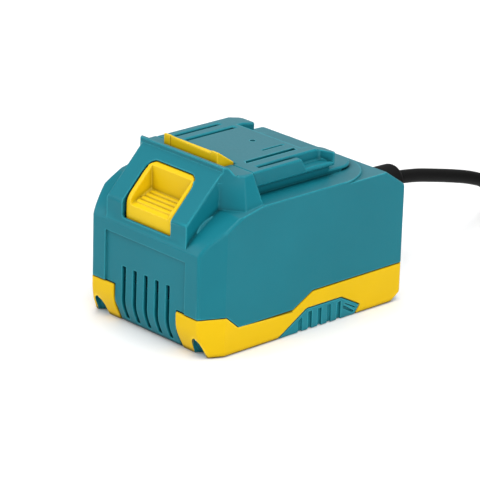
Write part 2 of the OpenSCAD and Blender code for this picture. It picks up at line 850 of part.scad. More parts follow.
module rail_block() {
    color(teal) difference() {
        union() {
            translate([0, 0, shoulder_h]) linear_extrude(rail_step_h)
                round_back(neck_w, front_y, deck_end - step_back, rail_step_r);
            translate([0, 0, shoulder_h]) linear_extrude(groove_h) rail_plan(neck_w / 2);
            translate([0, 0, flange_z]) linear_extrude(flange_t) rail_plan(rail_w / 2);
            for (y = block_screw_y)
                translate([0, y, contact_z + fit]) cylinder(d = 6, h = rail_top - contact_z - 2 * fit);
        }
        box([-half_w, front_y - over, shoulder_h - over], [half_w, head_end, rail_top + over]);
        rail_hollow();
        rail_slots();
        rail_notch(1);
        rail_lead_in();
        hook_opening();
        for (s = [-1, 1], y = rail_screw_y) translate([s * rail_screw_x, y, shoulder_h - over])
            cylinder(d = small_screw_d + 2 * screw_fit, h = 7);
        for (y = block_screw_y) translate([0, y, contact_z])
            cylinder(d = small_screw_d + 2 * screw_fit, h = 6);
    }
}

// Hollow of the rail block, with the posts of the terminal block left standing
module rail_hollow() {
    difference() {
        box([-rail_hollow_w / 2, head_end - over, shoulder_h - over],
            [rail_hollow_w / 2, hollow_end, rail_top - wall]);
        for (y = block_screw_y)
            translate([0, y, contact_z + fit]) cylinder(d = 6, h = rail_top);
    }
}

// Contact slots, edge slots, the signal slot and the moulding mark
module rail_slots() {
    for (s = [-1, 1]) {
        edge_x = s * (edge_slot_x + edge_slot_w / 2);
        box([s * slot_x - slot_w / 2, front_y + slot_start, rail_top - wall - over],
            [s * slot_x + slot_w / 2, slot_end, rail_top + over]);
        box([edge_x - edge_slot_w / 2, front_y + slot_start, flange_z + notch_floor],
            [edge_x + edge_slot_w / 2, front_y + notch_start + notch_slant + over, rail_top + over]);
    }
    box([signal_x - signal_w / 2, slot_end - signal_l, rail_top - wall - over],
        [signal_x + signal_w / 2, slot_end, rail_top + over]);
    translate([0, front_y + notch_start, rail_top - 0.4]) cylinder(d = mark_d, h = over);
}

// Notch in the rail's top on side s, with a slanted front end and a flared rear end
module rail_notch(s) {
    end = rear_y - notch_back;
    intersection() {
        translate([0, 0, flange_z + notch_floor]) linear_extrude(flange_t) polygon([
            [s * edge_slot_x, front_y], [s * half_w, front_y],
            [s * half_w, end + notch_flare * (half_w - edge_slot_x) / (rail_w / 2 - edge_slot_x)],
            [s * edge_slot_x, end]
        ]);
        across(body_w) polygon([
            [front_y + notch_start - over * notch_slant / (flange_t - notch_floor), rail_top + over],
            [front_y + notch_start + notch_slant, flange_z + notch_floor],
            [rear_y, flange_z + notch_floor],
            [rear_y, rail_top + over]
        ]);
    }
}

// Slope of the rails' top towards their rear ends, where a tool slides on
module rail_lead_in() {
    end = rear_y - rail_end_back;
    across(body_w) polygon([
        [end - lead_in_l, rail_top], [end + over, rail_top - lead_in_h * (1 + over / lead_in_l)],
        [end + over, rail_top + over], [end - lead_in_l, rail_top + over]
    ]);
}

module rail_screws() {
    color(steel) for (s = [-1, 1], y = rail_screw_y)
        translate([s * rail_screw_x, y, block_z]) screw(small_screw_d, wall + 5, small_head_d, small_head_h);
}

module bottom_cover() {
    color(teal) difference() {
        union() {
            intersection() {
                body_form(bumper_t + wall + seam, 0);
                box([-half_w, front_y, 0], [half_w, rear_y, base_t]);
            }
            for (s = [-1, 1]) tray_side(s);
            intersection() {
                at_screws(0) cylinder(d = boss_d, h = boss_h);
                body_form(tray_in);
            }
            for (p = board_spots) translate([p[0], p[1], base_t - fit])
                cylinder(d = 6.4, h = standoff_h + fit);
        }
        at_screws(-over) cylinder(d = well_d, h = well_h + over);
        at_screws(0) cylinder(d = case_screw_d + 2 * screw_fit, h = boss_h + over);
        for (p = board_spots) translate([p[0], p[1], base_t])
            cylinder(d = small_screw_d + 2 * screw_fit, h = standoff_h + over);
    }
}

// Side of the base tray: its wall behind the bumper and the ribbed grip that shows through it
module tray_side(s) {
    side_x = s * (apron_x + seam + half_w);
    intersection() {
        difference() {
            body_form(tray_in);
            body_form(bumper_t + wall, base_t);
        }
        box([side_x - half_w, front_y, 0], [side_x + half_w, rear_y, split_z - fit]);
    }
    difference() {
        intersection() {
            body_form(0.3);
            across(body_w) polygon(inset(grip_side, seam));
            box([s * half_w - 3, front_y, 0], [s * half_w + 3, rear_y, split_z]);
        }
        translate([s * (half_w - 0.3), 0, 0]) intersection() {
            grip_cuts();
            across(2 * grip_deep) polygon(inset(grip_side, seam + grip_border));
        }
    }
}

// Grooves of a grip: upright ones, and two along its rear slope
module grip_cuts() {
    pitch = (grip_l - grip_rise - grip_fall + 2) / (grip_grooves - 1);
    for (i = [0 : grip_grooves - 1]) translate([0, grip_y + grip_rise - 3.4 + i * pitch, 0])
        cube([2 * grip_deep, groove_w, 4 * grip_h], center = true);
    fall = atan2(grip_h - grip_tip_z, grip_fall);
    for (k = [1, 2]) translate([0, grip_y + grip_l - grip_fall + 2, grip_h]) rotate([-fall, 0, 0])
        translate([0, 6, -0.6 - 2 * k]) cube([2 * grip_deep, 9, groove_w / 2], center = true);
}

module bumper(s) {
    color(yellow) difference() {
        intersection() {
            bumper_band(bumper_t, 0);
            box([s * half_w - half_w, front_y - over, -over],
                [s * half_w + half_w, rear_y + over, bumper_h]);
        }
        across(body_w + 2 * over) polygon(grip_side);
        at_screws(-over) cylinder(d = well_d, h = well_h + over);
    }
}

module left_bumper() {
    bumper(-1);
}

module right_bumper() {
    bumper(1);
}

module case_screws() {
    color(steel) at_screws(well_h) screw(case_screw_d, case_screw_l, 5.6, 2.2);
}

// Outline of the button from the side, with its rim along the leaning face
rim_z = lean_foot + (button_front - lean_front - rim_back) * lean_h / lean_run;
// Reach of the rounded nose of the rim
rim_round = 2.6;
button_side = concat(
    [
        [button_front, button_low - button_tail],
        [button_back, button_low - button_tail],
        [button_back, button_top],
        [lean_front + rim_back + (button_top - lean_foot) * lean_run / lean_h, button_top]
    ],
    bend([button_front + rim_round * lean_run / lean_h, rim_z + rim_round], [button_front, rim_z],
        [button_front, rim_z - rim_round], 6)
);

module release_latch() {
    color(yellow) {
        difference() {
            intersection() {
                along(button_front, button_depth) translate([0, button_low - button_tail])
                    window(button_w, button_h + button_tail, window_low_r, button_r);
                across(button_w) polygon(button_side);
            }
            scoop();
        }
        scoop_ribs();
        box([-bridge_w / 2, button_back - over, bridge_z],
            [bridge_w / 2, hook_front + over, bridge_z + bridge_t]);
        translate([0, spring_y, bridge_z - peg_l]) cylinder(d = peg_d, h = peg_l + over);
        hook();
    }
}

// Thumb scoop: upright walls over a floor that falls to the front
module scoop() {
    back = button_front + scoop_l;
    intersection() {
        along(button_front - over, scoop_l + over) translate([0, scoop_floor - over])
            round_rect(button_w - 2 * scoop_wall, scoop_h + 4 * button_r, button_r - 1);
        across(button_w) polygon([
            [button_front - over, scoop_floor - scoop_rise * over / scoop_l], [back, scoop_floor + scoop_rise],
            [back, rail_top], [button_front - over, rail_top]
        ]);
    }
}

module scoop_ribs() {
    pitch = scoop_l * 0.8 / rib_count;
    for (i = [0 : rib_count - 1])
        let (y = scoop_l - 1.2 - i * pitch)
        translate([0, button_front + y, scoop_floor + scoop_rise * y / scoop_l - 0.4])
            rotate([0, 90, 0]) cylinder(r = rib_h + 0.4, h = button_w - 2 * scoop_wall - 3, center = true);
}

// Hook with a steep front and a ramp to the rear, hollow from below
module hook() {
    top = rail_top + hook_h;
    core = 2;
    difference() {
        across(hook_w) polygon([
            [hook_front, bridge_z], [hook_back, bridge_z], [hook_back, rail_top + 0.4],
            [hook_front + 1, top], [hook_front, top]
        ]);
        box([-hook_w / 2 + hook_end_w, hook_front - over, top - hook_dip],
            [hook_w / 2 - hook_end_w, hook_back, top + over]);
        box([-hook_w / 2 + hook_end_w, hook_front - over, rail_top + 0.2],
            [hook_w / 2 - hook_end_w, hook_front + 0.4, top + over]);
        box([-hook_w / 2 + core, hook_front + core, bridge_z - over],
            [hook_w / 2 - core, hook_back - core, rail_top - 2]);
    }
    difference() {
        box([-stop_w / 2, hook_front - stop_reach, rail_top - wall - latch_gap - stop_t],
            [stop_w / 2, hook_back + stop_reach, rail_top - wall - latch_gap]);
        box([-hook_w / 2 + core, hook_front + core, bridge_z - over],
            [hook_w / 2 - core, hook_back - core, rail_top]);
    }
}

// Tube of radius r with the given number of sides through a list of points
module tube(path, r, sides) {
    n = len(path);
    rings = [
        for (i = [0 : n - 1])
            let (
                t = path[min(i + 1, n - 1)] - path[max(i - 1, 0)],
                d = t / norm(t),
                u = cross(d, [0, 0, 1]),
                a = u / norm(u),
                b = cross(a, d)
            )
            [for (k = [0 : sides - 1])
                path[i] + r * (cos(360 * k / sides + 90) * a + sin(360 * k / sides + 90) * b)]
    ];
    points = concat([for (ring = rings) each ring], [path[0], path[n - 1]]);
    last = n * sides;
    walls = [
        for (i = [0 : n - 2], k = [0 : sides - 1])
            let (j = (k + 1) % sides, p = i * sides)
            each [[p + k, p + j, p + sides + j], [p + k, p + sides + j, p + sides + k]]
    ];
    ends = [
        for (k = [0 : sides - 1])
            let (j = (k + 1) % sides, p = (n - 1) * sides)
            each [[last, j, k], [last + 1, p + k, p + j]]
    ];
    polyhedron(points, concat(walls, ends));
}

// Least gap between a tube of diameter d and itself, between points more than skip apart
function least_gap(path, d, skip) = min([
    for (i = [0 : len(path) - 1], j = [i + skip : 1 : len(path) - 1]) norm(path[i] - path[j])
]) - d;

spring_steps = 8;
spring_r = (spring_d - spring_wire) / 2;
spring_path = let (
    n = spring_turns * spring_steps,
    low = spring_wire / 2 + 0.15,
    rise = spring_l - 2 * low
) concat(
    [[spring_r, -spring_wire, low]],
    [for (i = [0 : n]) [
        spring_r * cos(360 * i / spring_steps), spring_r * sin(360 * i / spring_steps), low + rise * i / n
    ]],
    [[spring_r * cos(360 * spring_turns) - spring_wire * sin(360 * spring_turns),
      spring_r * sin(360 * spring_turns) + spring_wire * cos(360 * spring_turns), low + rise]]
);
echo(spring_gap = least_gap(spring_path, spring_wire, spring_steps - 1));

module latch_spring() {
    color(steel) translate([0, spring_y, seat_z]) tube(spring_path, spring_wire / 2, 6);
}

module latch_bracket() {
    color(black) difference() {
        union() {
            box([-bracket_w / 2, spring_y - bracket_l / 2, seat_z - bracket_t],
                [bracket_w / 2, spring_y + bracket_l / 2, seat_z]);
            translate([0, spring_y, seat_z - over]) cylinder(d = peg_d, h = peg_l + over);
        }
        for (x = [-bracket_x, bracket_x]) translate([x, spring_y, seat_z - bracket_t - over])
            cylinder(d = small_screw_d + 2 * screw_fit, h = bracket_t + 2 * over);
    }
}

module bracket_screws() {
    color(steel) for (x = [-bracket_x, bracket_x]) translate([x, spring_y, seat_z - bracket_t])
        screw(small_screw_d, bracket_screw_l, small_head_d, small_head_h);
}

module terminal_block() {
    color(black) difference() {
        union() {
            box([-rail_hollow_w / 2 + fit, block_mid - block_l / 2, block_z],
                [rail_hollow_w / 2 - fit, block_mid + block_l / 2, contact_z]);
            for (s = [-1, 1]) box(
                [s * (slot_x - 4.4) - 0.8, block_mid - block_l / 2 + 2, contact_z - fit],
                [s * (slot_x - 4.4) + 0.8, block_mid + block_l / 2, contact_z + contact_h - 1]
            );
        }
        for (s = [-1, 1]) box([s * slot_x - 2, contact_mid - 3, block_z - over],
            [s * slot_x + 2, contact_mid + 3, contact_z + over]);
        box([signal_x - 1, signal_y - 2, block_z - over],
            [signal_x + 1, signal_y + 2, contact_z + over]);
        for (y = block_screw_y) translate([0, y, block_z - over])
            cylinder(d = small_screw_d + 2 * screw_fit, h = block_t + 2 * over);
    }
}

module terminal_screws() {
    color(steel) for (y = block_screw_y) translate([0, y, block_z])
        screw(small_screw_d, block_t + 4, small_head_d, small_head_h);
}

// Spring contact: a clip of two leaves that pinch a blade, with a tab for its lead
module contact(x, y, l, w, sheet, tab) {
    pinch = sheet + 0.6;
    translate([x, y, contact_z]) {
        along(-l / 2, l) polygon(mirrored([
            [0, 0], [w / 2, 0], [w / 2, contact_h * 0.45], [pinch, contact_h * 0.75],
            [w / 2 - 0.3, contact_h], [w / 2 - 0.3 - sheet, contact_h], [pinch - sheet, contact_h * 0.75],
            [w / 2 - sheet, contact_h * 0.45 - 0.2], [w / 2 - sheet, sheet], [0, sheet]
        ]));
        box([-tab / 2, -tab, -block_t - tab_l], [tab / 2, tab, sheet / 2]);
    }
}

module positive_contact() {
    color(copper) contact(slot_x, contact_mid, contact_l, 5, 0.7, 2.2);
}

module negative_contact() {
    color(copper) contact(-slot_x, contact_mid, contact_l, 5, 0.7, 2.2);
}

module signal_contact() {
    color(copper) contact(signal_x, signal_y, signal_l - 2, 3, 0.4, 1.2);
}

// Straight lead from the board up to a contact's tab
module lead(x, y, d) {
    translate([x, y, board_top]) cylinder(d = d, h = contact_z - block_t - tab_l - board_top);
}

module positive_lead() {
    color([0.75, 0.08, 0.06]) lead(slot_x, contact_mid, lead_d);
}

module negative_lead() {
    color(black) lead(-slot_x, contact_mid, lead_d);
}

module signal_lead() {
    color([0.9, 0.9, 0.9]) lead(signal_x, signal_y, lead_d / 2);
}

module main_board() {
    color([0.10, 0.32, 0.16]) difference() {
        box([-board_w / 2, board_front, board_z], [board_w / 2, board_front + board_l, board_top]);
        for (p = board_spots) translate([p[0], p[1], board_z - over])
            cylinder(d = small_screw_d + 2 * screw_fit, h = board_t + 2 * over);
    }
}

module board_screws() {
    color(steel) for (p = board_spots) translate([p[0], p[1], board_top]) rotate([180, 0, 0])
        screw(small_screw_d, board_t + standoff_h - 0.5, small_head_d, small_head_h);
}

module transformer_core() {
    color([0.22, 0.22, 0.23]) translate([0, core_y, board_top + bobbin_t]) difference() {
        box([-core_w / 2, -core_t / 2, 0], [core_w / 2, core_t / 2, core_h]);
        for (s = [-1, 1]) translate([s * (core_leg + window_w) / 2, 0, core_h / 2])
            cube([window_w, core_t + 2 * over, window_h], center = true);
    }
}

// Winding on a bobbin round the middle leg, over a base plate under the core
module transformer_winding() {
    coil_w = core_leg + 2 * window_w - 2 * fit;
    color([0.86, 0.74, 0.18]) translate([0, core_y, board_top]) {
        difference() {
            translate([-coil_w / 2, -winding_t / 2, bobbin_t + (core_h - window_h) / 2 + fit])
                cube([coil_w, winding_t, window_h - 2 * fit]);
            cube([core_leg + 2 * fit, core_t + 2 * fit, 4 * core_h], center = true);
        }
        box([-core_w / 2, -winding_t / 2, 0], [core_w / 2, winding_t / 2, bobbin_t - fit]);
        for (s = [-1, 1]) box(
            [-core_leg, s * (winding_t / 2 - 1) - 1, bobbin_t - 2 * fit],
            [core_leg, s * (winding_t / 2 - 1) + 1, bobbin_t + core_h / 2]
        );
    }
}

// Electrolytic can with a bead under its rim
module can(d, h) {
    rotate_extrude() difference() {
        union() {
            square([d / 2 - 0.5, h]);
            square([d / 2, h - 0.6]);
        }
        translate([d / 2 + 0.3, h * 0.12]) circle(0.9);
    }
}

module storage_capacitor() {
    color(black) translate([bulk_x, bulk_y, board_top]) can(bulk_d, bulk_h);
}

module output_capacitors() {
    color([0.12, 0.16, 0.34]) for (i = [-1, 0, 1])
        translate([i * out_cap_gap, out_cap_y, board_top]) can(out_cap_d, out_cap_h);
}

// Finned heat sink along the side s of the board
module heat_sink(s) {
    color(alloy) translate([s * sink_x, sink_y, board_top]) scale([s, 1, 1]) {
        cube([2.4, sink_l, sink_h]);
        for (i = [0 : 4]) translate([2, i * (sink_l - 1.4) / 4, 0]) cube([4, 1.4, sink_h]);
    }
}

module primary_heat_sink() {
    heat_sink(-1);
}

module secondary_heat_sink() {
    heat_sink(1);
}

// Power device with three legs, its tab against the heat sink on side s
module power_device(s) {
    translate([s * sink_x, sink_y + 6, board_top]) scale([s, 1, 1]) {
        translate([-device_t, 0, 4]) cube([device_t, device_w, device_h - 5]);
        translate([-1.3, 0, device_h - 2]) cube([1.3, device_w, 7]);
        for (i = [-1, 0, 1]) translate([-2.6, device_w / 2 + i * 2.54 - 0.4, 0]) cube([0.6, 0.8, 5]);
    }
}

module switching_transistor() {
    color(black) power_device(-1);
}

module output_rectifier() {
    color(black) power_device(1);
}

module bridge_rectifier() {
    color(black) translate([-bridge_rect_x, bridge_y, board_top]) {
        translate([-rect_w / 2, -bridge_t_y / 2, rect_lift]) cube([rect_w, bridge_t_y, rect_h]);
        for (i = [0 : 3]) translate([(i - 1.5) * rect_w / 4 - 0.45, -0.4, 0])
            cube([0.9, 0.8, rect_lift + 1]);
    }
}

module filter_choke() {
    color(copper) translate([-choke_x, choke_y, board_top + choke_d / 2]) rotate([90, 0, 0])
        rotate_extrude() translate([choke_d / 2 - 6, -choke_t / 2]) {
            translate([1, 0]) square([4, choke_t]);
            translate([0, 1]) square([6, choke_t - 2]);
            for (x = [1, 5], y = [1, choke_t - 1]) translate([x, y]) circle(1);
        }
}

module suppression_capacitor() {
    color([0.85, 0.62, 0.1]) translate([-box_cap_x, box_cap_y, board_top])
        along(-box_cap_t / 2, box_cap_t) round_rect(box_cap_w, box_cap_h, 1);
}

module mains_fuse() {
    cap_x = fuse_l / 2 - 2.5;
    color([0.85, 0.86, 0.82]) translate([fuse_l / 2 + 1, fuse_y, board_top + 4]) rotate([0, 90, 0]) {
        cylinder(d = fuse_d - 0.8, h = fuse_l, center = true);
        for (x = [-cap_x, cap_x]) translate([0, 0, x]) cylinder(d = fuse_d, h = 5, center = true);
        for (x = [-cap_x, cap_x]) translate([2, 0, x]) cube([4, 3, 3], center = true);
    }
}

// Mains lead that leaves the cord's end, turns down and ends on the board
module mains_lead(x) {
    d = 2.2;
    turn = 6;
    translate([x, tail_end - turn - 1, 0]) {
        translate([0, 0, board_top]) cylinder(d = d, h = cord_z - turn - board_top);
        translate([0, turn, cord_z]) rotate([-90, 0, 0]) cylinder(d = d, h = 1);
        translate([0, turn, cord_z - turn]) rotate([180, -90, 0])
            rotate_extrude(angle = 90) translate([turn, 0]) circle(d = d);
    }
}

module live_lead() {
    color([0.45, 0.26, 0.12]) mains_lead(1.5);
}

module neutral_lead() {
    color([0.12, 0.25, 0.6]) mains_lead(-1.5);
}

module cord_tail() {
    color(black) translate([0, tail_end, cord_z]) rotate([-90, 0, 0])
        cylinder(d = cord_d, h = rear_y - wall - fit - boot_flange_t - tail_end);
}

module cord_clamp() {
    color(black) difference() {
        along(clamp_y - clamp_t, clamp_t) translate([0, cord_z - clamp_h / 2])
            round_rect(2 * (clamp_x + clamp_side), clamp_h, 3);
        translate([0, clamp_y - clamp_t - over, cord_z]) rotate([-90, 0, 0])
            cylinder(d = cord_d + 2 * fit, h = clamp_t + 2 * over);
        for (x = [-clamp_x, clamp_x]) translate([x, clamp_y - clamp_t - over, cord_z]) rotate([-90, 0, 0])
            cylinder(d = small_screw_d + 2 * screw_fit, h = clamp_t + 2 * over);
    }
}

module clamp_screws() {
    color(steel) for (x = [-clamp_x, clamp_x]) translate([x, clamp_y - clamp_t, cord_z]) rotate([-90, 0, 0])
        screw(small_screw_d, clamp_t + clamp_post - 0.6, small_head_d, small_head_h);
}

// Strain relief: a collar in the rear wall and a tapered sleeve with a rounded end
module strain_relief() {
    round_r = boot_tip_d / 4 - 0.1;
    inner = wall + fit + boot_flange_t;
    color(black) translate([0, rear_y, cord_z]) rotate([-90, 0, 0]) rotate_extrude() {
        translate([0, -inner]) square([boot_neck_d / 2, inner + over]);
        translate([0, -inner]) square([boot_d / 2 - 0.5, boot_flange_t]);
        polygon([
            [0, fit], [boot_d / 2, fit], [boot_tip_d / 2, boot_l - round_r],
            [boot_tip_d / 2 - round_r, boot_l], [0, boot_l]
        ]);
        translate([boot_tip_d / 2 - round_r, boot_l - round_r]) circle(round_r);
    }
}

module mains_cord() {
    color(black) tube(cord_route, cord_d / 2, 10);
}

// Layers of turns, in and out by turns, with a climb of half a turn where the spiral reverses
coil_path = let (
    n = coil_turns * coil_steps,
    half = coil_steps / 2,
    total = coil_layers * (n + half) - half
) concat(
    [coil_begin],
    [for (i = [0 : total])
        let (
            a = 180 + coil_turned - 360 * i / coil_steps,
            layer = floor(i / (n + half)),
            j = i - layer * (n + half),
            in = min(j, n) * coil_pitch / coil_steps,
            r = layer % 2 == 0 ? coil_out_r - in : coil_in_r + in,
            climb = max(0, j - n) / half
        )
        coil_centre + [r * cos(a), r * sin(a), coil_pitch * (layer + climb)]],
    [coil_end]
);
echo(coil_gap = least_gap(coil_path, cord_d, coil_steps / 2));

module cord_coil() {
    color(black) tube(coil_path, cord_d / 2, 6);
}

// Strap round all the turns of the coil
module coil_tie() {
    gap = 0.4;
    inner = coil_in_r - cord_d / 2 - gap;
    outer = coil_out_r + cord_d / 2 + gap;
    top = coil_top + cord_d / 2 + gap;
    color(black) translate([coil_centre[0], coil_centre[1], 0]) rotate(2 * coil_turned) along(-tie_w / 2, tie_w)
        difference() {
            translate([inner - tie_t, 0]) square([outer - inner + 2 * tie_t, top + tie_t]);
            translate([inner, tie_t]) square([outer - inner, top - tie_t]);
        }
}

module cord_end() {
    color(black) tube(end_route, cord_d / 2, 10);
}

// Two-pin plug that lies flat on the coil: a tapered tail, a grip and a flat face round the pins
module plug_body() {
    color(black) translate(plug_tail) rotate([-90, 0, 0]) {
        cylinder(d1 = cord_d + 2, d2 = cord_d + 7, h = plug_tail_l);
        hull() {
            translate([0, 0, plug_tail_l - 2]) cylinder(d = cord_d + 9, h = 2, $fn = 32);
            translate([0, -plug_t / 2, plug_tail_l + plug_neck_l]) linear_extrude(0.5)
                round_rect(plug_w, plug_t, 9, $fn = 32);
        }
        translate([0, -plug_t / 2, plug_tail_l + plug_neck_l]) linear_extrude(plug_face_l)
            round_rect(plug_w, plug_t, 9);
    }
}

module plug_pins() {
    color(steel) for (s = [-1, 1]) translate([plug_tail[0] + s * pin_gap / 2, pin_y, plug_z])
        rotate([-90, 0, 0]) rotate_extrude() {
            square([pin_d / 2, pin_l - 1]);
            square([pin_d / 2 - 1, pin_l]);
            intersection() {
                translate([pin_d / 2 - 1, pin_l - 1]) circle(1);
                square([pin_d, pin_l]);
            }
        }
}

main_housing();
rail_block();
rail_screws();
bottom_cover();
left_bumper();
right_bumper();
case_screws();
release_latch();
latch_spring();
latch_bracket();
bracket_screws();
terminal_block();
terminal_screws();
positive_contact();
negative_contact();
signal_contact();
positive_lead();
negative_lead();
signal_lead();
main_board();
board_screws();
transformer_core();
transformer_winding();
storage_capacitor();
output_capacitors();
primary_heat_sink();
secondary_heat_sink();
switching_transistor();
output_rectifier();
bridge_rectifier();
filter_choke();
suppression_capacitor();
mains_fuse();
live_lead();
neutral_lead();
cord_tail();
cord_clamp();
clamp_screws();
strain_relief();
mains_cord();
cord_coil();
coil_tie();
cord_end();
plug_body();
plug_pins();
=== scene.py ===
"""Looks of a mains adapter for cordless tools: softened mouldings, cord, finishes and studio."""

import json
import math

import bmesh
import bpy
from mathutils import Matrix, Vector
from mathutils.bvhtree import BVHTree
from mathutils.geometry import intersect_point_line


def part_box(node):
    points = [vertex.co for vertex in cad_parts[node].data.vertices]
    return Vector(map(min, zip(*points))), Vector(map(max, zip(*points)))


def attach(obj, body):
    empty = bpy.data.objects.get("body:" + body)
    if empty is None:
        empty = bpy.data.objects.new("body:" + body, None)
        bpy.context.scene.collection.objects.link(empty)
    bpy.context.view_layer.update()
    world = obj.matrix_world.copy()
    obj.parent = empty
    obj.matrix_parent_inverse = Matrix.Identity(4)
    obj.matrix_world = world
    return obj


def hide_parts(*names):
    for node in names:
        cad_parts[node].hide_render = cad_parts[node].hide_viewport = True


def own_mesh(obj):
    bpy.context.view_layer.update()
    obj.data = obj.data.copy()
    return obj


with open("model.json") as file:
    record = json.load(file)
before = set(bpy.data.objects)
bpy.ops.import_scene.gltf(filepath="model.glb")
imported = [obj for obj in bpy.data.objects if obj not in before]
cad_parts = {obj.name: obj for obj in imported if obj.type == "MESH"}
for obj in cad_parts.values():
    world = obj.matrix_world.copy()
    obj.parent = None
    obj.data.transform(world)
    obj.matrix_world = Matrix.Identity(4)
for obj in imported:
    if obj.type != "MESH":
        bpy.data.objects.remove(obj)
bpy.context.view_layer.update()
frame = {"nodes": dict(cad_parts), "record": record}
nodes = frame["nodes"]
scene = bpy.context.scene
MM = 0.001


# Camera: the photograph's own view, from a fit of the housing's edges.
AZIMUTH = math.radians(46.614)
ELEVATION = math.radians(20.665)
ROLL = math.radians(1.741)
TARGET = Vector((0, 0, 0.035))
DISTANCE = 1.230419
SHIFT_RIGHT = -0.002685
SHIFT_UP = -0.006250
LENS = 223.08
SENSOR = 36.0
NEAR = 0.05
FAR = 20


def add_camera():
    """Camera that looks at the target from the fitted side, height and distance."""
    back = Vector((
        math.sin(AZIMUTH) * math.cos(ELEVATION),
        -math.cos(AZIMUTH) * math.cos(ELEVATION),
        math.sin(ELEVATION),
    ))
    right = Vector((math.cos(AZIMUTH), math.sin(AZIMUTH), 0))
    up = back.cross(right)
    side = right * math.cos(ROLL) + up * math.sin(ROLL)
    top = up * math.cos(ROLL) - right * math.sin(ROLL)
    eye = TARGET + back * DISTANCE + side * SHIFT_RIGHT + top * SHIFT_UP
    data = bpy.data.cameras.new("camera")
    data.lens = LENS
    data.sensor_width = SENSOR
    data.clip_start = NEAR
    data.clip_end = FAR
    camera = bpy.data.objects.new("camera", data)
    turn = Matrix((side, top, back)).transposed().to_4x4()
    camera.matrix_world = Matrix.Translation(eye) @ turn
    scene.collection.objects.link(camera)
    scene.camera = camera


add_camera()


# Finishes
# Grey of the painted sheen on open level faces.
SHEEN_GREY = (0.22, 0.22, 0.22)
CLOUD_SCALE = 22.0
# Painted highlight along edges: the reach of the rounded normal and the share of the paler tone.
EDGE_REACH = 1.2 * MM
EDGE_HIGHLIGHT_SHARE = 0.6
# Reach of the painted shade in creases and seams.
CREASE_REACH = 2.5 * MM
# Reach within which shelter keeps the painted sheen off level faces.
SKY_REACH = 12 * MM
GRAIN_DEPTH = 0.3 * MM
GLOSS_DRIFT = 0.06
LIGHT_SAMPLES = 6


def node_of(tree, kind, **values):
    """New shader node with these values on its inputs."""
    made = tree.nodes.new(kind)
    for key, value in values.items():
        made.inputs[key].default_value = value
    return made


def drift(tree, vector, tone, spread):
    """Tone that drifts softly over the surface."""
    cloud = node_of(tree, "ShaderNodeTexNoise", Scale=CLOUD_SCALE, Detail=3.0, Roughness=0.55)
    tree.links.new(vector, cloud.inputs["Vector"])
    ramp = tree.nodes.new("ShaderNodeValToRGB")
    low, high = ramp.color_ramp.elements
    low.position, high.position = 0.3, 0.7
    low.color = (*[c * (1 - spread) for c in tone], 1)
    high.color = (*[min(1.0, c * (1 + spread)) for c in tone], 1)
    tree.links.new(cloud.outputs["Fac"], ramp.inputs["Fac"])
    return ramp.outputs["Color"]


def painted_edge_highlight(tree, colour, edge_highlight_tone, share):
    """Colour painted paler along edges and creases: a painted highlight where a rounded edge would catch the
    light.
    """
    rounded = node_of(tree, "ShaderNodeBevel", Radius=EDGE_REACH)
    rounded.samples = LIGHT_SAMPLES
    surface = tree.nodes.new("ShaderNodeNewGeometry")
    turn = tree.nodes.new("ShaderNodeVectorMath")
    turn.operation = "DOT_PRODUCT"
    tree.links.new(rounded.outputs["Normal"], turn.inputs[0])
    tree.links.new(surface.outputs["True Normal"], turn.inputs[1])
    highlight_mask = node_of(tree, "ShaderNodeMapRange")
    highlight_mask.inputs["From Min"].default_value = 0.995
    highlight_mask.inputs["From Max"].default_value = 0.85
    highlight_mask.inputs["To Max"].default_value = share
    tree.links.new(turn.outputs["Value"], highlight_mask.inputs["Value"])
    highlighted = node_of(tree, "ShaderNodeMixRGB", Color2=(*edge_highlight_tone, 1))
    tree.links.new(highlight_mask.outputs["Result"], highlighted.inputs["Fac"])
    tree.links.new(colour, highlighted.inputs["Color1"])
    return highlighted.outputs["Color"]


def painted_crease_shade(tree, colour, depth):
    """Colour that darkens in creases and seams: painted shade where nearby surfaces block the light."""
    occlusion = node_of(tree, "ShaderNodeAmbientOcclusion", Distance=CREASE_REACH)
    occlusion.samples = LIGHT_SAMPLES
    shade = node_of(tree, "ShaderNodeMapRange")
    shade.inputs["To Min"].default_value = depth
    shade.inputs["From Min"].default_value = 0.45
    shade.inputs["From Max"].default_value = 0.9
    tree.links.new(occlusion.outputs["AO"], shade.inputs["Value"])
    darker = node_of(tree, "ShaderNodeMixRGB", Fac=1.0)
    darker.blend_type = "MULTIPLY"
    tree.links.new(colour, darker.inputs["Color1"])
    tree.links.new(shade.outputs["Result"], darker.inputs["Color2"])
    return darker.outputs["Color"]


def painted_top_sheen(tree, colour, share):
    """Colour that greys on level faces under the open sky: a painted sheen, the reflection of a pale room on
    open tops.
    """
    surface = tree.nodes.new("ShaderNodeNewGeometry")
    parts = tree.nodes.new("ShaderNodeSeparateXYZ")
    tree.links.new(surface.outputs["Normal"], parts.inputs["Vector"])
    level = node_of(tree, "ShaderNodeMapRange")
    level.inputs["From Min"].default_value = 0.93
    level.inputs["From Max"].default_value = 0.995
    level.inputs["To Max"].default_value = share
    tree.links.new(parts.outputs["Z"], level.inputs["Value"])
    sky = node_of(tree, "ShaderNodeAmbientOcclusion", Distance=SKY_REACH)
    sky.samples = LIGHT_SAMPLES
    bare = node_of(tree, "ShaderNodeMapRange")
    bare.inputs["From Min"].default_value = 0.7
    bare.inputs["From Max"].default_value = 0.95
    tree.links.new(sky.outputs["AO"], bare.inputs["Value"])
    sheen_mask = tree.nodes.new("ShaderNodeMath")
    sheen_mask.operation = "MULTIPLY"
    tree.links.new(level.outputs["Result"], sheen_mask.inputs[0])
    tree.links.new(bare.outputs["Result"], sheen_mask.inputs[1])
    greyer = node_of(tree, "ShaderNodeMixRGB", Color2=(*SHEEN_GREY, 1))
    tree.links.new(sheen_mask.outputs["Value"], greyer.inputs["Fac"])
    tree.links.new(colour, greyer.inputs["Color1"])
    return greyer.outputs["Color"]


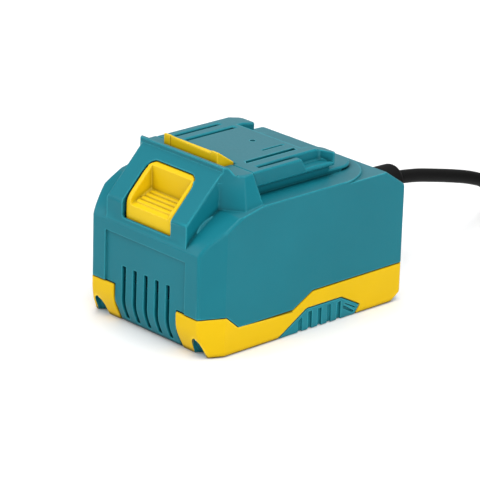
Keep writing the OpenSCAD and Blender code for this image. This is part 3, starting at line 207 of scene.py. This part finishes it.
def finish_of(
    name, tone, rough, metal=0.0, grain=900.0, spread=0.08, bump=0.05, sheen=None, gleam=0.5,
    edge_highlight_tone=None, crease_shade=0.2, top_sheen=0.0,
):
    """Procedural finish: drifts of tone and gloss and a fine grain.

    A moulding with an edge highlight tone also has painted highlights on its edges and painted shade in its
    creases.
    """
    material = bpy.data.materials.new(name)
    material.use_nodes = True
    tree = material.node_tree
    shader = tree.nodes["Principled BSDF"]
    place = tree.nodes.new("ShaderNodeTexCoord").outputs["Object"]

    colour = drift(tree, place, tone, spread)
    # Painted sheen on open level faces.
    if top_sheen:
        colour = painted_top_sheen(tree, colour, top_sheen)
    # Painted highlight on edges, then painted shade in creases.
    if edge_highlight_tone:
        colour = painted_edge_highlight(tree, colour, edge_highlight_tone, EDGE_HIGHLIGHT_SHARE)
        colour = painted_crease_shade(tree, colour, crease_shade)
    tree.links.new(colour, shader.inputs["Base Color"])

    fine = node_of(tree, "ShaderNodeTexNoise", Scale=grain, Detail=2.0, Roughness=0.5)
    tree.links.new(place, fine.inputs["Vector"])
    gloss = node_of(tree, "ShaderNodeMapRange")
    gloss.inputs["To Min"].default_value = max(0.02, rough - GLOSS_DRIFT)
    gloss.inputs["To Max"].default_value = min(1.0, rough + GLOSS_DRIFT)
    tree.links.new(fine.outputs["Fac"], gloss.inputs["Value"])
    tree.links.new(gloss.outputs["Result"], shader.inputs["Roughness"])

    relief = node_of(tree, "ShaderNodeBump", Strength=bump, Distance=GRAIN_DEPTH)
    tree.links.new(fine.outputs["Fac"], relief.inputs["Height"])
    tree.links.new(relief.outputs["Normal"], shader.inputs["Normal"])

    shader.inputs["Metallic"].default_value = metal
    shader.inputs["Specular IOR Level"].default_value = gleam
    if sheen:
        shader.inputs["Sheen Weight"].default_value = sheen
    return material


TEAL = (0.003, 0.142, 0.182)
# Tone of the painted edge highlight on teal.
HIGHLIGHT_TEAL = (0.035, 0.370, 0.440)
GRIP_TEAL = (0.008, 0.175, 0.220)
YELLOW = (0.665, 0.420, 0.001)
LEMON = (0.665, 0.445, 0.003)
# Tone of the painted edge highlight on yellow.
HIGHLIGHT_YELLOW = (0.800, 0.560, 0.040)
BLACK = (0.004, 0.004, 0.004)
finishes = {
    # The housing's open tops get a painted grey sheen.
    "housing": finish_of(
        "teal_moulding", TEAL, 0.42, bump=0.06, spread=0.05, gleam=0.15, edge_highlight_tone=HIGHLIGHT_TEAL, top_sheen=0.15
    ),
    "bumper": finish_of(
        "yellow_moulding", YELLOW, 0.42, bump=0.05, spread=0.04, gleam=0.1, edge_highlight_tone=HIGHLIGHT_YELLOW
    ),
    # The latch's creases get less painted shade than the housing's.
    "latch": finish_of(
        "yellow_button", LEMON, 0.40, bump=0.04, spread=0.04, gleam=0.15, edge_highlight_tone=HIGHLIGHT_YELLOW, crease_shade=0.6
    ),
    "screw": finish_of("zinc_screw", (0.55, 0.56, 0.58), 0.32, metal=1.0, grain=3000.0),
    "spring": finish_of("spring_wire", (0.55, 0.56, 0.58), 0.28, metal=1.0, grain=4000.0),
    "inner_plastic": finish_of("black_moulding", (0.03, 0.03, 0.033), 0.5),
    "contact": finish_of("brass_sheet", (0.80, 0.56, 0.25), 0.28, metal=1.0),
    "red_wire": finish_of("red_sleeve", (0.45, 0.02, 0.015), 0.45),
    "black_wire": finish_of("black_sleeve", (0.02, 0.02, 0.02), 0.45),
    "white_wire": finish_of("white_sleeve", (0.75, 0.75, 0.72), 0.45),
    "board": finish_of("green_laminate", (0.03, 0.17, 0.06), 0.4, grain=400.0),
    "ferrite": finish_of("ferrite_block", (0.06, 0.06, 0.065), 0.6, bump=0.15),
    "winding_tape": finish_of("yellow_tape", (0.78, 0.55, 0.06), 0.35, grain=300.0),
    "can_sleeve": finish_of("shrunk_sleeve", (0.02, 0.025, 0.09), 0.25),
    "heat_sink": finish_of("extruded_alloy", (0.75, 0.76, 0.78), 0.35, metal=1.0, grain=1500.0),
    "device": finish_of("moulded_package", (0.025, 0.025, 0.027), 0.5),
    "choke": finish_of("enamelled_wire", (0.55, 0.20, 0.07), 0.3, metal=0.6, grain=700.0, bump=0.3),
    "cap_box": finish_of("potted_box", (0.78, 0.48, 0.05), 0.3),
    "fuse": finish_of("fuse_tube", (0.70, 0.74, 0.72), 0.12),
    "brown_wire": finish_of("brown_sleeve", (0.18, 0.08, 0.03), 0.45),
    "blue_wire": finish_of("blue_sleeve", (0.03, 0.08, 0.35), 0.45),
    "cord": finish_of("cord_sheath", BLACK, 0.55, grain=1400.0, bump=0.08, gleam=0.08),
    "tie": finish_of(
        "woven_strap", (0.008, 0.008, 0.009), 0.8, grain=2200.0, bump=0.5, sheen=0.08, gleam=0.1
    ),
    "plug": finish_of("plug_moulding", (0.006, 0.006, 0.006), 0.55, bump=0.08, gleam=0.12),
    "pin": finish_of("nickel_pin", (0.80, 0.79, 0.76), 0.18, metal=1.0, grain=3000.0),
}
# The grip's creases get less painted shade than the housing's.
grip_finish = finish_of(
    "teal_grip", GRIP_TEAL, 0.42, bump=0.06, spread=0.05, gleam=0.15, edge_highlight_tone=HIGHLIGHT_TEAL, crease_shade=0.6
)
slot_of = {row["node"]: row["material_slot"] for row in frame["record"]["subparts"]}


def dress(obj, slot):
    """Give a new piece the finish of one of the record's slots."""
    obj.data.materials.clear()
    obj.data.materials.append(finishes[slot])


for name, obj in nodes.items():
    for place in obj.material_slots:
        place.material = finishes[slot_of[name]]


# Softened mouldings: copies of the CAD solids with rounded edges.
# ROOM, SIDE_ROOM, STRAY and LEAST_RUN count in widths of the rounding.
ROOM = 2.2
SIDE_ROOM = 1.5
STRAY = 0.6
LEAST_RUN = 6
TRIES = 7
PROBES = (0.15, 0.5, 0.85)
ALONG = 0.9
FACING = 0.2
SHARPEST = math.radians(150)
BLUNTEST = math.radians(25)
SHADED_BEND = math.radians(40)
LEVEL_BEND = math.radians(0.4)
SAME_PLACE = 2e-6
OFF_FACE = 1e-5
NO_AREA = 1e-8


def crosses(loop, width):
    """Whether another edge of a face runs close by, across from one of its edges."""
    start = loop.vert.co
    step = loop.link_loop_next.vert.co - start
    along = step.normalized()
    inward = loop.face.normal.cross(along)
    ends = set(loop.edge.verts)
    for other in loop.face.edges:
        if ends & set(other.verts):
            continue
        for share in PROBES:
            a, b = (v.co - start - step * share for v in other.verts)
            ua, ub = a.dot(along), b.dot(along)
            if ua * ub >= 0:
                continue
            if 0 < a.dot(inward) + (b - a).dot(inward) * ua / (ua - ub) < ROOM * width:
                return True
    return False


def faces_wall(loop, width, surface):
    """Whether the rounding of an edge would meet the far wall of a slot."""
    start = loop.vert.co
    step = loop.link_loop_next.vert.co - start
    normal = loop.face.normal
    inside = start + step / 2 + normal.cross(step.normalized()) * 0.5 * width + normal * OFF_FACE
    return surface.ray_cast(inside, normal, 2 * width)[0] is not None


def has_room(edge, width, rounded, surface):
    """Whether a sharp edge has space for a rounding on both its faces and at both its ends."""
    if len(edge.link_faces) != 2 or any(face[rounded] for face in edge.link_faces):
        return False
    if not BLUNTEST < edge.calc_face_angle(0.0) < SHARPEST:
        return False
    start = edge.verts[0].co
    along = (edge.verts[1].co - start).normalized()
    for loop in edge.link_loops:
        away = (v.co - start for v in loop.face.verts)
        if max((step - along * step.dot(along)).length for step in away) < ROOM * width:
            return False
        if edge.is_convex and (crosses(loop, width) or faces_wall(loop, width, surface)):
            return False
    for vert in edge.verts:
        for other in vert.link_edges:
            way = (other.other_vert(vert).co - vert.co).normalized()
            if abs(way.dot(along)) < ALONG and other.calc_length() < SIDE_ROOM * width:
                return False
    return True


def strays(bm, surface, width):
    """Places where a rounding leaves the surface that it rounds, or where a face folds over."""
    out = [v.co.copy() for v in bm.verts if surface.find_nearest(v.co)[3] > STRAY * width]
    for loops in bm.calc_loop_triangles():
        a, b, c = (loop.vert.co for loop in loops)
        normal = (b - a).cross(c - a)
        middle = (a + b + c) / 3
        if normal.length < NO_AREA or normal.dot(surface.find_nearest(middle)[1]) > 0:
            continue
        around = surface.find_nearest_range(middle, width)
        if all(normal.dot(near[1]) < FACING * normal.length for near in around):
            out.append(middle)
    return out


def is_near(edge, places, reach):
    """Whether an edge passes within reach of one of the places."""
    start, end = edge.verts[0].co, edge.verts[1].co
    for place in places:
        share = min(1.0, max(0.0, intersect_point_line(place, start, end)[1]))
        if (place - start.lerp(end, share)).length < reach:
            return True
    return False


def long_runs(edges, least):
    """Edges that belong to a connected run of at least this length."""
    left = set(edges)
    out = []
    while left:
        run = [left.pop()]
        for edge in run:
            for vert in edge.verts:
                joined = left.intersection(vert.link_edges)
                left -= joined
                run += joined
        if sum(edge.calc_length() for edge in run) >= least:
            out += run
    return out


def round_edges(bm, width):
    """Round the edges with room for this width, and leave those near a place where that goes wrong."""
    surface = BVHTree.FromBMesh(bm)
    given = len(strays(bm, surface, width))
    rounded = bm.faces.layers.int["rounded"]
    able = [i for i, edge in enumerate(bm.edges) if has_room(edge, width, rounded, surface)]
    avoid = []
    for turn in range(TRIES):
        trial = bm.copy()
        trial.edges.ensure_lookup_table()
        reach = (2 + 2 * turn) * width
        clear = [trial.edges[i] for i in able if not is_near(trial.edges[i], avoid, reach)]
        done = bmesh.ops.bevel(
            trial, geom=long_runs(clear, LEAST_RUN * width), offset=width, offset_type="OFFSET", segments=3,
            profile=0.5, affect="EDGES", clamp_overlap=False, loop_slide=True,
        )
        layer = trial.faces.layers.int["rounded"]
        for face in done["faces"]:
            face[layer] = 1
        trial.normal_update()
        wrong = strays(trial, surface, width)
        if len(wrong) <= given + turn // 3:
            bm.free()
            return trial
        avoid += wrong
        trial.free()
    return bm


def soften(node, name, widths):
    """Copy of a CAD solid with rounded edges, each with the first of the widths that it has room for."""
    mesh = nodes[node].data.copy()
    mesh.name = name
    obj = bpy.data.objects.new(name, mesh)
    scene.collection.objects.link(obj)
    bm = bmesh.new()
    bm.from_mesh(mesh)
    bmesh.ops.remove_doubles(bm, verts=bm.verts, dist=SAME_PLACE)
    bmesh.ops.dissolve_limit(
        bm, angle_limit=LEVEL_BEND, use_dissolve_boundaries=False, verts=bm.verts, edges=bm.edges
    )
    bm.faces.layers.int.new("rounded")
    for width in widths:
        bm = round_edges(bm, width * MM)
    rounded = bm.faces.layers.int["rounded"]
    for face in bm.faces:
        face.smooth = True
    for edge in bm.edges:
        kinds = {face[rounded] for face in edge.link_faces}
        edge.smooth = len(kinds) == 1 and edge.calc_face_angle(0.0) < SHADED_BEND
    bm.to_mesh(mesh)
    bm.free()
    dress(obj, slot_of[node])
    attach(obj, "latch" if node == "release_latch" else "housing")
    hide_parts(node)
    return obj


SOFTENED = [
    ("main_housing", "housing_shell", (1.1, 0.6, 0.3)),
    ("rail_block", "rail_moulding", (0.8, 0.4, 0.2)),
    ("release_latch", "latch_moulding", (0.9, 0.5, 0.25)),
    ("bottom_cover", "base_tray", (0.3,)),
    ("left_bumper", "left_guard", (0.8, 0.3)),
    ("right_bumper", "right_guard", (0.8, 0.3)),
    ("strain_relief", "cord_boot", (0.3,)),
    ("plug_body", "plug_moulding", (0.8, 0.4)),
    ("coil_tie", "coil_strap", (0.3,)),
]
made = {node: soften(node, name, widths) for node, name, widths in SOFTENED}
made["bottom_cover"].data.materials[0] = grip_finish


# Screw wells: inside them the bumpers have the teal of the cover that stands behind
WELL_R = 3.4 * MM
SCREW_HEAD_R = 2.8 * MM
INNER_RIM = 0.9 * MM
FACES_UP = 0.05


def line_wells(bumper):
    """Teal finish on a bumper's faces inside the wells and on their inner rims, which face up."""
    low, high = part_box("case_screws")
    spots = [
        (x, y)
        for x in (low[0] + SCREW_HEAD_R, high[0] - SCREW_HEAD_R)
        for y in (low[1] + SCREW_HEAD_R, high[1] - SCREW_HEAD_R)
    ]
    bumper.data.materials.append(finishes["housing"])
    for face in bumper.data.polygons:
        reach = WELL_R + (INNER_RIM if face.normal.z > FACES_UP else 0)
        if min(math.dist(face.center[:2], spot) for spot in spots) < reach:
            face.material_index = 1


line_wells(made["left_bumper"])
line_wells(made["right_bumper"])


# Tubes, for the spring and the cord
def tube(name, path, thick, rounds):
    """Curve along a path, with a round section; all lengths are in metres."""
    data = bpy.data.curves.new(name, "CURVE")
    data.dimensions = "3D"
    data.bevel_depth = thick / 2
    data.bevel_resolution = rounds
    data.use_fill_caps = True
    line = data.splines.new("POLY")
    line.points.add(len(path) - 1)
    for point, place in zip(line.points, path):
        point.co = (*place, 1)
    line.use_smooth = True
    return bpy.data.objects.new(name, data)


# Return spring: a round wire, a fixed helix in the CAD spring's box; the real spring shortens as the latch
# goes down
SPRING_TURNS = 5
SPRING_WIRE = 0.9 * MM
SPRING_STEPS = 24


def add_spring():
    """Helix in the box of the CAD spring, from its seat to the latch."""
    low, high = (Vector(corner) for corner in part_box("latch_spring"))
    middle = (low + high) / 2
    radius = (high.x - low.x - SPRING_WIRE) / 2
    rise = high.z - low.z - SPRING_WIRE
    last = SPRING_TURNS * SPRING_STEPS
    path = []
    for i in range(last + 1):
        a = 2 * math.pi * i / SPRING_STEPS
        height = low.z + SPRING_WIRE / 2 + rise * i / last
        path.append((middle.x + radius * math.cos(a), middle.y + radius * math.sin(a), height))
    curve = tube("return_spring_line", path, SPRING_WIRE, 3)
    spring = bpy.data.objects.new("return_spring", bpy.data.meshes.new_from_object(curve))
    scene.collection.objects.link(spring)
    dress(spring, "spring")
    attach(spring, "housing")
    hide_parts("latch_spring")
    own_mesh(spring)


add_spring()


# Cord, in millimetres: one curve from the strain relief through the coil to the plug, along the solids' route
CORD_D = 6.0
CORD_START = Vector((0, 87.5, 0))
COIL_IN_R = 28.0
COIL_TURNS = 1.5
COIL_LAYERS = 4
COIL_PITCH = 7.2
COIL_OUT_R = COIL_IN_R + COIL_TURNS * COIL_PITCH
COIL_LIFT = 1.4
COIL_Z = CORD_D / 2 + COIL_LIFT
COIL_STEPS = 48
COIL_TURNED = math.radians(30)
COIL_DIR = Vector((-math.sin(COIL_TURNED), math.cos(COIL_TURNED), 0))
COIL_SIDE = Vector((math.cos(COIL_TURNED), math.sin(COIL_TURNED), 0))
COIL_BEGIN = CORD_START + Vector((-22, 96, COIL_Z))
COIL_CENTRE = COIL_BEGIN + CORD_D * COIL_DIR + COIL_OUT_R * COIL_SIDE
COIL_RISE = Vector((0, 0, (COIL_LAYERS - 1) * COIL_PITCH))
COIL_END = COIL_CENTRE + COIL_OUT_R * COIL_SIDE - CORD_D * COIL_DIR + COIL_RISE
PLUG_TAIL = CORD_START + Vector((-5.2, 125, 42.9))
FREE_ROUTE = [CORD_START + Vector(p) for p in (
    (0, 0, 36.3), (0, 2, 36.3), (0, 7, 35.7), (0, 14, 34.6), (0, 21, 33.1), (0, 32, 30.5),
    (0, 42.5, 27.8), (0, 49, 25.8), (-0.6, 55, 23.5), (-2, 59.8, 21.1), (-4.1, 64.3, 18.5),
    (-8.1, 71.2, 14.2), (-12.1, 78.2, 10), (-14.1, 81.6, 7.9), (-16.6, 86, 6), (-19.1, 90.3, 4.8),
)] + [COIL_BEGIN - 2 * COIL_DIR, COIL_BEGIN]
END_ROUTE = [COIL_END, COIL_END - 2 * COIL_DIR] + [CORD_START + Vector(p) for p in (
    (48.4, 126, 26.2), (48.4, 116.6, 27), (45.2, 107.8, 28.8), (39.2, 100.6, 31.5), (31, 95.9, 34.4),
    (21.8, 94.3, 37), (12.6, 95.9, 39.2), (4.4, 100.6, 40.9), (-1.6, 107.8, 42), (-4.8, 116.6, 42.7),
)] + [PLUG_TAIL - Vector((0, 2, 0)), PLUG_TAIL]


def smooth_route(points, parts=4):
    """Points on a smooth curve through a route."""
    ends = [points[0] * 2 - points[1]] + points + [points[-1] * 2 - points[-2]]
    out = []
    for i in range(1, len(ends) - 2):
        a, b, c, d = ends[i - 1:i + 3]
        for k in range(parts):
            t = k / parts
            out.append(0.5 * (
                2 * b + (c - a) * t + (2 * a - 5 * b + 4 * c - d) * t ** 2
                + (3 * b - a - 3 * c + d) * t ** 3
            ))
    out.append(points[-1])
    return out


def coil_route():
    """Layers of turns, in and out by turns, with a climb where the spiral reverses."""
    spiral = round(COIL_TURNS * COIL_STEPS)
    half = COIL_STEPS // 2
    out = []
    for i in range(COIL_LAYERS * (spiral + half) - half + 1):
        a = math.pi + COIL_TURNED - 2 * math.pi * i / COIL_STEPS
        layer, j = divmod(i, spiral + half)
        inward = min(j, spiral) * COIL_PITCH / COIL_STEPS
        r = COIL_IN_R + inward if layer % 2 else COIL_OUT_R - inward
        climb = max(0, j - spiral) / half
        out.append(COIL_CENTRE + Vector((r * math.cos(a), r * math.sin(a), COIL_PITCH * (layer + climb))))
    return out


def add_cord():
    """The whole cord as one tube along its route."""
    path = smooth_route(FREE_ROUTE) + coil_route() + smooth_route(END_ROUTE)
    path = [p * MM for p in path]
    cord = tube("power_cord", path, CORD_D * MM, 5)
    scene.collection.objects.link(cord)
    dress(cord, "cord")
    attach(cord, "housing")
    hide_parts("mains_cord", "cord_coil", "cord_end")


add_cord()


# Studio
FLOOR_SIZE = 30
FLOOR_DROP = 0.2 * MM
SKY_GLOW = 0.55
LIGHT_AIM = (0, 0, 0.03)


def add_floor():
    """Pale floor just under the object."""
    bpy.ops.mesh.primitive_plane_add(size=FLOOR_SIZE, location=(0, 0, -FLOOR_DROP))
    floor = bpy.context.object
    floor.name = "floor"
    floor.data.materials.append(
        finish_of("pale_floor", (0.86, 0.86, 0.86), 0.75, grain=60.0, spread=0.004, bump=0.0)
    )


def add_light(name, place, size, power):
    """Square white light that faces the object."""
    data = bpy.data.lights.new(name, "AREA")
    data.shape = "SQUARE"
    data.size = size
    data.energy = power
    light = bpy.data.objects.new(name, data)
    light.location = place
    light.rotation_euler = (Vector(place) - Vector(LIGHT_AIM)).to_track_quat("Z", "Y").to_euler()
    scene.collection.objects.link(light)


def add_world():
    """Even white surroundings."""
    world = bpy.data.worlds.new("studio")
    world.use_nodes = True
    ground = world.node_tree.nodes["Background"]
    ground.inputs["Color"].default_value = (1, 1, 1, 1)
    ground.inputs["Strength"].default_value = SKY_GLOW
    scene.world = world


add_floor()
add_world()
add_light("overhead", (0.1, 0.1, 1.3), 1.2, 16)
add_light("front_left", (-0.9, -1.1, 0.7), 0.9, 9)
add_light("front_right", (1.2, -0.5, 0.6), 0.9, 9)

scene.view_settings.view_transform = "Standard"
